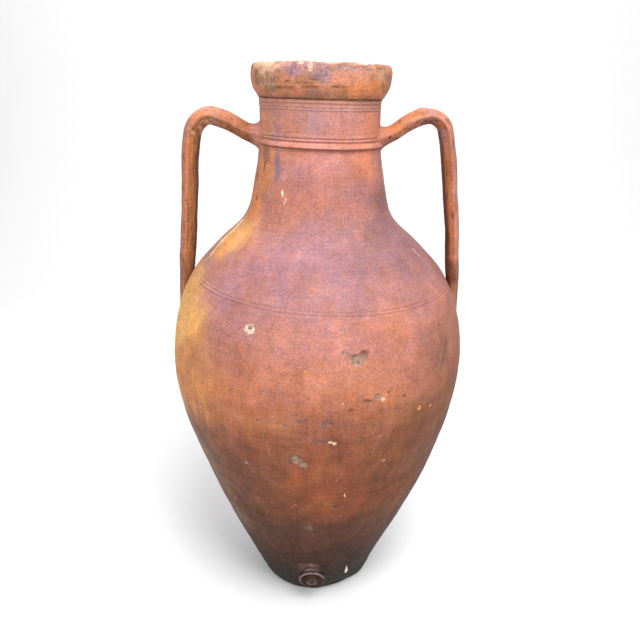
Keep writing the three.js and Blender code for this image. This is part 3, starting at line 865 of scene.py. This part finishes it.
def wall_marks(points, tone, azimuth, z):
    """Chips, spots and stains as a second colour and where it lies; darker incised and seam lines, and a
    pale line of wear and painted highlight along the upper edge of each incised line.
    """
    upright = xyz(points[:, 0] - lean_at(z), points[:, 1], z)
    mark_tone, mark_at = tone.copy(), np.zeros(len(points))
    for mark in MARKS:
        a0, height, wide, tall, _, _, kind = mark
        near = np.abs(z - height * MM) < 2.4 * max(wide, tall) * MM
        near &= np.abs(degrees_from(a0, azimuth)) < 25
        if not near.any():
            continue
        at = upright[near]
        field = mark_field(at, mark)
        colour = varied(KIND_COLOURS[kind], 0.4 * noise(at, 150, 7))
        if kind in ("slate", "dark"):
            colour = coated(colour, (tone[near], 0.25 + 0.4 * noise(at, 110, 9)))
        if kind in ("scuff_and_highlight", "worn", "hair"):
            broken = -0.3 if kind == "scuff_and_highlight" else 0.25
            field = field * ramp(noise(at, 210, 14), broken - 1.0, broken)
        if kind in ("ring", "pale"):
            colour = coated(colour, ((0.16, 0.10, 0.075), ramp(field, 0.84, 0.92)))
        if kind in ("grey", "tan"):
            # Painted shade: a dark line inside the upper edge of grey and tan marks, where the mark's own
            # lip shades it.
            edge = ramp(field, 0.62, 0.5) * ramp(at[:, 2] - height * MM, -2 * MM, 3 * MM)
            colour = coated(colour, ((0.06, 0.045, 0.04), edge * 0.8))
        here = field > mark_at[near]
        where = np.where(near)[0][here]
        mark_tone[where], mark_at[where] = colour[here], field[here]
    for height, depth, half, dip in GROOVES + SEAM_LINES:
        on_neck, low_seam = height > 800, height < 400
        offset = from_line(upright, height, dip)
        line_darkening = np.exp(-((offset / (half * MM)) ** 2)) * min(1, depth)
        line_darkening = line_darkening * (0.6 + 0.3 * noise(upright, 14, 12))
        if low_seam:
            line_darkening = line_darkening * ramp(noise(upright, 9, int(height)), -0.35, 0.3) * 1.3
        line = (0.05, 0.02, 0.012) if low_seam else (0.12, 0.055, 0.065)
        tone = coated(tone, (line, line_darkening * (0.85 if on_neck else 0.55)))
        # Pale line along the upper edge of each incised line: wear, and painted highlight where the ridge
        # catches the light, stronger on the left.
        worn = np.exp(-(((offset - 2.0 * half * MM) / (0.8 * half * MM)) ** 2)) * (not low_seam)
        patchy = (0.16 + 0.34 * noise(upright, 18, 13)) * (1 if on_neck else 0.3)
        patchy = (patchy + 0.5 * ramp(-azimuth, 35, 58) * ramp(azimuth, -120, -90)) * (depth > 0.4)
        tone = coated(tone, ((0.60, 0.38, 0.30), worn * patchy * 0.8))
    pit = np.zeros(len(points))
    for a0, z0, size, _ in PITS:
        near = np.abs(z - z0) < 2 * size
        da = np.radians(degrees_from(math.degrees(a0), azimuth[near])) * outer_radius(z0)
        field = np.exp(-((da**2 + (z[near] - z0) ** 2) / (size * size)))
        tone[near] = coated(tone[near], (tone[near] * 0.5, field * 0.8))
        pit[near] += field
    return tone, np.clip(pit, 0, 1), mark_tone, mark_at


def save_tone(piece, tone, pit, mark_tone=None, mark_at=None):
    if mark_tone is None:
        mark_tone, mark_at = tone, np.zeros(len(tone))
    for name, colour, extra in (("tone", tone, pit), ("mark", mark_tone, mark_at)):
        attribute = piece.data.attributes.new(name, "FLOAT_COLOR", "POINT")
        rgba = np.concatenate([np.clip(colour, 0.003, 0.9), np.clip(extra, 0, 1)[:, None]], 1)
        attribute.data.foreach_set("color", rgba.astype(np.float32).ravel())


def paint_wall(piece):
    points, tone, azimuth, z = clay_tone(piece)
    inside = np.hypot(points[:, 0] - lean_at(z), points[:, 1]) < outer_radius(z) - 11 * MM
    inside &= z < NECK_TOP - 2 * MM
    tone, pit, mark_tone, mark_at = wall_marks(points, tone, azimuth, z)
    dark = varied((0.20, 0.095, 0.055), 0.25 * layered(points, 24, 111))
    tone[inside], mark_at[inside] = dark[inside], 0
    save_tone(piece, tone, pit, mark_tone, mark_at)


def paint_rim(piece):
    points, tone, azimuth, z = clay_tone(piece)
    edge = ramp(z, CREST - 11 * MM, CREST - 2 * MM)
    worn = patches(points, 55, 123, 0.10, 0.35)
    # Painted shade under the collar: a darker band on its underside, and a near-black line where it meets
    # the neck.
    tone = coated(
        tone,
        ((0.16, 0.08, 0.05), ramp(NECK_TOP + 9 * MM - z, 0, 8 * MM) * 0.5),
        ((0.05, 0.025, 0.022), ramp(NECK_TOP + 3.4 * MM - z, 0, 2.4 * MM) * 0.85),
        ((0.20, 0.13, 0.085), worn * 0.5),
    )
    tone = varied(tone, 0.22 * layered(xyz(points[:, 0], points[:, 1], z * 3), 48, 124))
    mouth = np.hypot(points[:, 0] - lean_at(z), points[:, 1]) < 93 * MM
    mouth &= z < CREST - 4 * MM
    tone[mouth] = tone[mouth] * 0.55
    mark_tone, mark_at = tone.copy(), np.zeros(len(points))
    for a0, below, wide, tall, kind in RIM_MARKS:
        da = np.radians(degrees_from(a0, azimuth)) * COLLAR_RADIUS
        dz = z - (CREST - below * MM)
        distance = np.sqrt((da / (wide * MM)) ** 2 + (dz / (tall * MM)) ** 2)
        torn = 0.30 * layered(points, 70, 121 + int(below)) + 0.12 * noise(points, 240, 122)
        field = 0.92 - 0.42 * distance + torn * ramp(distance, 2.4, 1.2)
        here = field > mark_at
        blended = coated(KIND_COLOURS[kind], (tone[here], np.full(here.sum(), 0.25)))
        mark_tone[here] = varied(blended, 0.3 * noise(points[here], 140, 9))
        mark_at[here] = np.clip(field[here], 0, 1)
    chips = 0.5 + 0.9 * (layered(points, 38, 128) - 0.15) - 1.2 * (1 - edge)
    rear = (np.abs(azimuth) > 75) & (chips > mark_at)
    mark_tone[rear], mark_at[rear] = (0.55, 0.42, 0.28), chips[rear]
    mark_at[mouth] = 0
    save_tone(piece, tone, worn * 0.7, mark_tone, mark_at)


def paint_cordon(piece):
    points, tone, _, z = clay_tone(piece)
    worn = patches(points, 40, 126, 0.1, 0.4) * ramp(z, 882 * MM, 885 * MM)
    # The pale top of the band is wear and painted highlight; the dark lower edge is dirt and painted shade
    # under the band.
    tone = coated(
        tone,
        ((0.09, 0.045, 0.035), ramp(883.0 * MM - z, 0, 2.0 * MM) * 0.85),
        ((0.60, 0.34, 0.27), worn * 0.2),
        ((0.34, 0.15, 0.12), patches(points, 25, 127, -0.1, 0.3) * 0.5),
    )
    save_tone(piece, tone, worn * 0.4)


def paint_handle(piece, side):
    left = side < 0
    points, tone, _, z = clay_tone(piece)
    x = (points[:, 0] - NECK_AXIS) * side
    normals = vectors(piece.data.vertex_normals, "vector")
    outward, downward = normals[:, 0] * side, -normals[:, 2]
    streak = xyz(points[:, 0] * 60, points[:, 1] * 150, z * 16)
    streaks = layered(streak, 1.0, 132)
    bend = np.exp(-(((x - 195 * MM) / (26 * MM)) ** 2)) * ramp(z, 0.86, 0.9)
    lichen = patches(points, 48, 134, -0.05 if left else -0.35, 0.3) * bend
    start = 0.05 if left else 0.6
    below_bend = ramp(0.93 - z, 0, 0.03)
    # Painted shade, with some dirt, on the inner faces turned towards the jar, and painted shade on the
    # faces turned down.
    inner = ramp(-outward, start, start + 0.4) * below_bend
    under = ramp(downward, 0.1, 0.7)
    shade = varied((0.28, 0.11, 0.035) if left else (0.30, 0.115, 0.05), 0.5 * layered(streak, 2.5, 137))
    # Near-black painted shade on the face turned straight at the jar.
    inner_face_shade = ramp(-outward, 0.86, 0.99) * below_bend
    flank = ramp(outward, -0.1, 0.3) * patches(streak, 0.6, 135, -0.2, 0.3)
    low = ramp(0.70 - z, 0, 0.05)
    strap = varied((0.47, 0.185, 0.105) if left else (0.50, 0.18, 0.085), 0.16 * layered(points, 22, 131))
    strap = coated(
        strap,
        ((0.26, 0.10, 0.06), ramp(streaks, 0.05, 0.5) * 0.55),
        ((0.50, 0.27, 0.19), patches(points, 60, 133, 0.15, 0.5) * 0.35),
        ((0.33, 0.24, 0.16) if left else (0.31, 0.20, 0.21), lichen * 0.75),
        # Painted shade on the inner and downward faces, and near-black painted shade on the jar-facing
        # face and the undersides.
        (shade, np.maximum(inner, under * 0.8) * (0.82 + 0.3 * streaks)),
        ((0.06, 0.026, 0.016), np.maximum(inner_face_shade, ramp(downward, 0.7, 0.95)) * 0.85),
        ((0.43, 0.20, 0.17), flank * 0.6),
        ((0.30, 0.135, 0.12), ramp(outward, 0.45, 0.9) * (0.6 + 0.4 * streaks)),
        ((0.20, 0.09, 0.055), low * 0.7 * (1 + 0.5 * streaks)),
    )
    if not left:
        tip = ramp(0.692 - z, 0, 0.018) * ramp(z, 0.636, 0.652)
        strap = coated(strap, ((0.15, 0.062, 0.038), tip * (0.75 + 0.4 * streaks)))
    blend = np.maximum(ramp(0.118 - x, 0, 0.022), ramp(0.625 - z, 0, 0.03))
    tone = strap + (tone - strap) * blend[:, None]
    flecks = layered(points * np.array((1, 1, 0.22)), 190, 138)
    flecks = 0.29 + 0.46 * flecks + 0.10 * np.maximum(inner, under) + 0.06 * low
    crust = patches(points, 60, 139, 0.0, 0.3) * bend
    mark_tone = varied((0.17, 0.07, 0.04), 0.4 * noise(points, 150, 9))
    mark_tone = coated(mark_tone, ((0.46, 0.28, 0.18) if left else (0.36, 0.20, 0.17), crust * 2))
    mark_at = np.clip(flecks + 0.22 * crust, 0, 0.60) * (1 - 0.9 * blend)
    save_tone(piece, tone, 0.35 * patches(points, 60, 136, 0.1, 0.4), mark_tone, mark_at)


def from_lip(points):
    """Distance out along the spout's axis and from it, and how far up and right of it, all mm."""
    local = points - SPOUT_CENTRE
    across = local - np.outer(local @ JOINT_AXIS, JOINT_AXIS)
    radius = np.linalg.norm(across, axis=1) / MM
    return local @ JOINT_AXIS / MM, radius, across @ SPOUT_UP / MM, across[:, 0] / MM


def paint_bung(piece):
    points = clay_tone(piece)[0]
    s, radius, _, _ = from_lip(points)
    grain = layered(points, 120, 141)
    tone = coated(
        varied((0.115, 0.085, 0.075), 0.5 * grain),
        ((0.05, 0.034, 0.03), ramp(6.0 - radius, 0, 1.6)),
        ((0.055, 0.033, 0.027), ramp(radius, 9.8, 11.0)),
        ((0.20, 0.13, 0.08), ramp(-1.0 - s, 0, 2)),
    )
    save_tone(piece, tone, ramp(grain, 0, 0.5))


def paint_spout(piece):
    points, tone, _, _ = clay_tone(piece)
    s, radius, up, right = from_lip(points)
    grain = layered(points, 120, 141)
    lip = ramp(radius, 21.6, 22.6) * ramp(s, -5.2, -3.8)
    lit = 0.20 + 0.9 * grain + 0.55 * ramp(up - 0.6 * right, -12, 16)
    # Painted shade in the groove between the lip and the boss.
    groove = np.exp(-(((s + 6.8) / 1.6) ** 2)) * ramp(24.5 - radius, 0, 2)
    boss = ramp(radius, 21.5, 24) * ramp(-s, 5, 7)
    haze = boss * ramp(up, 14, 28) * ramp(57 - radius, 0, 14) * np.exp(-(((right + 5) / 19) ** 2))
    glint = np.exp(-((right - 9) ** 2 / 60 + (up - 40 + 0.9 * right) ** 2 / 22)) * boss
    tone = coated(
        varied(tone, 0.3 * grain),
        ((0.19, 0.135, 0.13), lip * lit),
        ((0.035, 0.028, 0.04), groove * 0.9),
        ((0.15, 0.088, 0.09), haze * (0.6 + 0.5 * grain)),
        ((0.62, 0.35, 0.26), glint * 0.9),
        # Painted shade: the clay inside the ring is darkened where it lies in shade.
        ((0.062, 0.034, 0.028), ramp(22.0 - radius, 0, 0.8)),
    )
    save_tone(piece, tone, ramp(grain, 0.1, 0.5) * 0.5)


# ---- materials
def fired_clay(name, rough=0.62, speck=1.0):
    """Weathered clay: the painted tone, grain, spots and marks on it, and the bumps they make."""
    material = bpy.data.materials.new(name)
    material.use_nodes = True
    nodes, links = material.node_tree.nodes, material.node_tree.links
    nodes.clear()

    def add(kind, inputs, output=0, **settings):
        """A node with its inputs set or joined to other nodes. Gives one of its outputs."""
        made = nodes.new("ShaderNode" + kind)
        for key, value in settings.items():
            setattr(made, key, value)
        for key, value in inputs.items():
            if isinstance(value, bpy.types.NodeSocket):
                links.new(value, made.inputs[key])
            else:
                made.inputs[key].default_value = value
        return made.outputs[output]

    def texture(scale, detail, roughness, stretch=None):
        at = add("Mapping", {"Vector": place, "Scale": stretch}) if stretch else place
        inputs = {"Vector": at, "Scale": scale, "Detail": detail, "Roughness": roughness}
        return add("TexNoise", inputs, "Fac")

    def remap(value, from_low, from_high, to_low, to_high):
        return add("MapRange", {0: value, 1: from_low, 2: from_high, 3: to_low, 4: to_high})

    def calc(operation, a, b):
        return add("Math", {0: a, 1: b}, operation=operation)

    def times(a, b):
        return calc("MULTIPLY", a, b)

    def plus(a, b):
        return calc("ADD", a, b)

    def blend(kind, factor, under, over):
        over = (*over, 1) if isinstance(over, tuple) else over
        return add("Mix", {0: factor, 6: under, 7: over}, 2, data_type="RGBA", blend_type=kind)

    def grey(value):
        return add("CombineColor", {0: value, 1: value, 2: value})

    def spots(scale, size, share, shift):
        """Soft round spots in a share of the cells of a Voronoi pattern, as a 0 to 1 mask."""
        at = add("Mapping", {"Vector": place, "Location": (shift, 2 * shift, 0)})
        cells = add("TexVoronoi", {"Vector": at, "Scale": scale, "Randomness": 1.0}, "Distance")
        pick = add("SeparateColor", {"Color": cells.node.outputs["Color"]}, "Red")
        return times(remap(cells, size, size * 0.55, 0, 1), remap(pick, share, share * 0.92, 0, 1))

    place = add("TexCoord", {}, "Object")
    paint = add("Attribute", {}, "Color", attribute_name="tone")
    marks = add("Attribute", {}, "Color", attribute_name="mark")
    up = add("SeparateXYZ", {0: place}, "Z")
    cloud = texture(34, 6, 0.6)
    grain = texture(380, 2, 0.6)
    lines = texture(1.0, 3, 0.6, (9, 9, 330))
    smudge = texture(95, 5, 0.65)
    drips = texture(1.0, 4, 0.62, (105, 105, 10))
    warm = texture(62, 5, 0.68)
    fleck = texture(250, 3, 0.65)
    shade = remap(cloud, 0.3, 0.7, 0.89, 1.12)
    shade = times(shade, remap(grain, 0.28, 0.72, 0.80, 1.20))
    shade = times(shade, remap(lines, 0.3, 0.7, 0.93, 1.07))
    shade = times(shade, remap(smudge, 0.3, 0.7, 0.90, 1.10))
    drip = times(remap(drips, 0.3, 0.7, -0.15, 0.15), remap(up, 0.60, 0.46, 0.15, 1.0))
    shade = times(shade, plus(drip, 1.0))
    colour = blend("MULTIPLY", 1.0, paint, grey(shade))
    for pattern, low, high, most, cast in (
        (warm, 0.50, 0.68, 0.65, (1.12, 0.98, 0.68)), (warm, 0.50, 0.34, 0.6, (0.86, 0.92, 1.02)),
        (fleck, 0.54, 0.66, 0.5, (1.24, 1.05, 0.74)), (fleck, 0.46, 0.34, 0.45, (0.70, 0.62, 0.72)),
    ):
        colour = blend("MULTIPLY", remap(pattern, low, high, 0.0, most), colour, cast)
    lower = remap(up, 0.66, 0.52, 0.25, 1.0)
    dark = times(spots(95, 0.22, 0.12, 3.1), lower)
    fine = times(spots(210, 0.28, 0.16, 7.7), lower)
    pale = spots(170, 0.22, 0.10, 5.3)
    for spot, most, cast in (
        (dark, 0.6, (0.06, 0.03, 0.022)), (fine, 0.5, (0.08, 0.04, 0.03)), (pale, 0.4, (0.58, 0.42, 0.32)),
    ):
        colour = blend("MIX", times(spot, most * speck), colour, cast)
    ragged = remap(texture(200, 4, 0.75), 0.0, 1.0, -0.34, 0.34)
    field = remap(plus(marks.node.outputs["Alpha"], ragged), 0.45, 0.57, 0.0, 0.88)
    lumpy = times(shade, remap(texture(300, 2, 0.6), 0.3, 0.7, 0.62, 1.42))
    colour = blend("MIX", field, colour, blend("MULTIPLY", 1.0, marks, grey(lumpy)))
    roughness = remap(smudge, 0.3, 0.7, rough - 0.09, rough + 0.12)
    roughness = plus(roughness, times(paint.node.outputs["Alpha"], 0.2))
    height = times(grain, 0.30)
    for pattern, share in ((smudge, 0.45), (lines, 0.35), (fleck, 0.3)):
        height = plus(height, times(pattern, share))
    for pattern, share in ((dark, 0.5), (fine, 0.35), (field, 0.5)):
        height = calc("SUBTRACT", height, times(pattern, share))
    bump = add("Bump", {"Strength": 0.6, "Distance": 0.001, "Height": height})
    look = {"Base Color": colour, "Roughness": roughness, "Specular IOR Level": 0.10, "Normal": bump}
    surface = nodes.new("ShaderNodeOutputMaterial").inputs["Surface"]
    links.new(add("BsdfPrincipled", look), surface)
    return material


clay = fired_clay("weathered_terracotta")
plug_wood = fired_clay("weathered_bung", 0.8, 0.6)

for piece in (base, lower, belly, shoulder, neck):
    paint_wall(piece)
paint_rim(rim)
paint_cordon(cordon)
paint_handle(handle_left, -1)
paint_handle(handle_right, 1)
paint_spout(spout)
paint_bung(bung)

for piece, cad_node, slot, body in (
    (base, "base_slab", "terracotta_foot", "jar"),
    (lower, "lower_body", "terracotta_lower", "jar"),
    (belly, "belly", "terracotta_body", "jar"),
    (shoulder, "shoulder", "terracotta_body", "jar"),
    (neck, "neck", "terracotta_neck", "jar"),
    (rim, "rim_collar", "terracotta_neck", "jar"),
    (cordon, "neck_cordon", "terracotta_neck", "jar"),
    (handle_left, "handle_left", "terracotta_handle", "jar"),
    (handle_right, "handle_right", "terracotta_handle", "jar"),
    (spout, "drain_spout", "terracotta_lower", "jar"),
    (bung, "drain_bung", "bung_wood", "bung"),
):
    piece.data.materials.clear()
    piece.data.materials.append(plug_wood if piece is bung else clay)
    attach(piece, body)
    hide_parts(cad_node)

# ---- camera
LOOKING_DOWN = 22.2  # degrees
camera = placed("camera", bpy.data.cameras.new("camera"))
camera.location = (0.0064, -1.0, 0.9674)
camera.rotation_euler = (math.radians(90 - LOOKING_DOWN), 0, 0)
camera.data.sensor_width = 36
camera.data.lens = 31.94
camera.data.clip_start = 0.01
bpy.context.scene.camera = camera

# ---- floor and light
FLOOR_SIDE, FLOOR_FRONT, FLOOR_BACK, CURVE, BACKDROP_TOP = 9.0, -4.0, 1.6, 1.2, 5.0
floor_mesh = bpy.data.meshes.new("floor")
depth = [(FLOOR_FRONT, 0.0), (FLOOR_BACK, 0.0)]
for i in range(1, 13):
    turn = math.pi / 2 * i / 12
    depth.append((FLOOR_BACK + CURVE * math.sin(turn), CURVE - CURVE * math.cos(turn)))
depth.append((FLOOR_BACK + CURVE, BACKDROP_TOP))
verts = [(x, y, z) for y, z in depth for x in (-FLOOR_SIDE, FLOOR_SIDE)]
faces = [(2 * i, 2 * i + 1, 2 * i + 3, 2 * i + 2) for i in range(len(depth) - 1)]
floor_mesh.from_pydata(verts, [], faces)
floor_mesh.polygons.foreach_set("use_smooth", [True] * len(faces))
floor = placed("floor", floor_mesh)
paper = bpy.data.materials.new("paper")
paper.use_nodes = True
sheet = paper.node_tree.nodes["Principled BSDF"].inputs
sheet["Base Color"].default_value = (0.88, 0.88, 0.885, 1)
sheet["Roughness"].default_value = 0.9
floor_mesh.materials.append(paper)


def area_light(name, place, target, size, power):
    data = bpy.data.lights.new(name, "AREA")
    data.shape, data.size, data.energy = "DISK", size, power
    light = placed(name, data)
    light.location = place
    light.rotation_euler = (Vector(target) - Vector(place)).to_track_quat("-Z", "Y").to_euler()


area_light("key", (-1.5, -2.0, 2.7), (0, 0, 0.5), 1.5, 32)
area_light("fill", (1.8, -1.7, 2.5), (0, 0, 0.5), 1.9, 34)
area_light("top", (0.5, -1.2, 3.1), (0, 0, 0.4), 1.5, 76)
area_light("backdrop", (0, 0.9, 3.6), (0, 2.6, 1.0), 2.5, 32)
world = bpy.data.worlds.new("studio")
bpy.context.scene.world = world
world.use_nodes = True
sky = world.node_tree.nodes["Background"].inputs
sky["Color"].default_value = (1, 1, 1, 1)
sky["Strength"].default_value = 0.43
bpy.context.scene.view_settings.view_transform = "Standard"
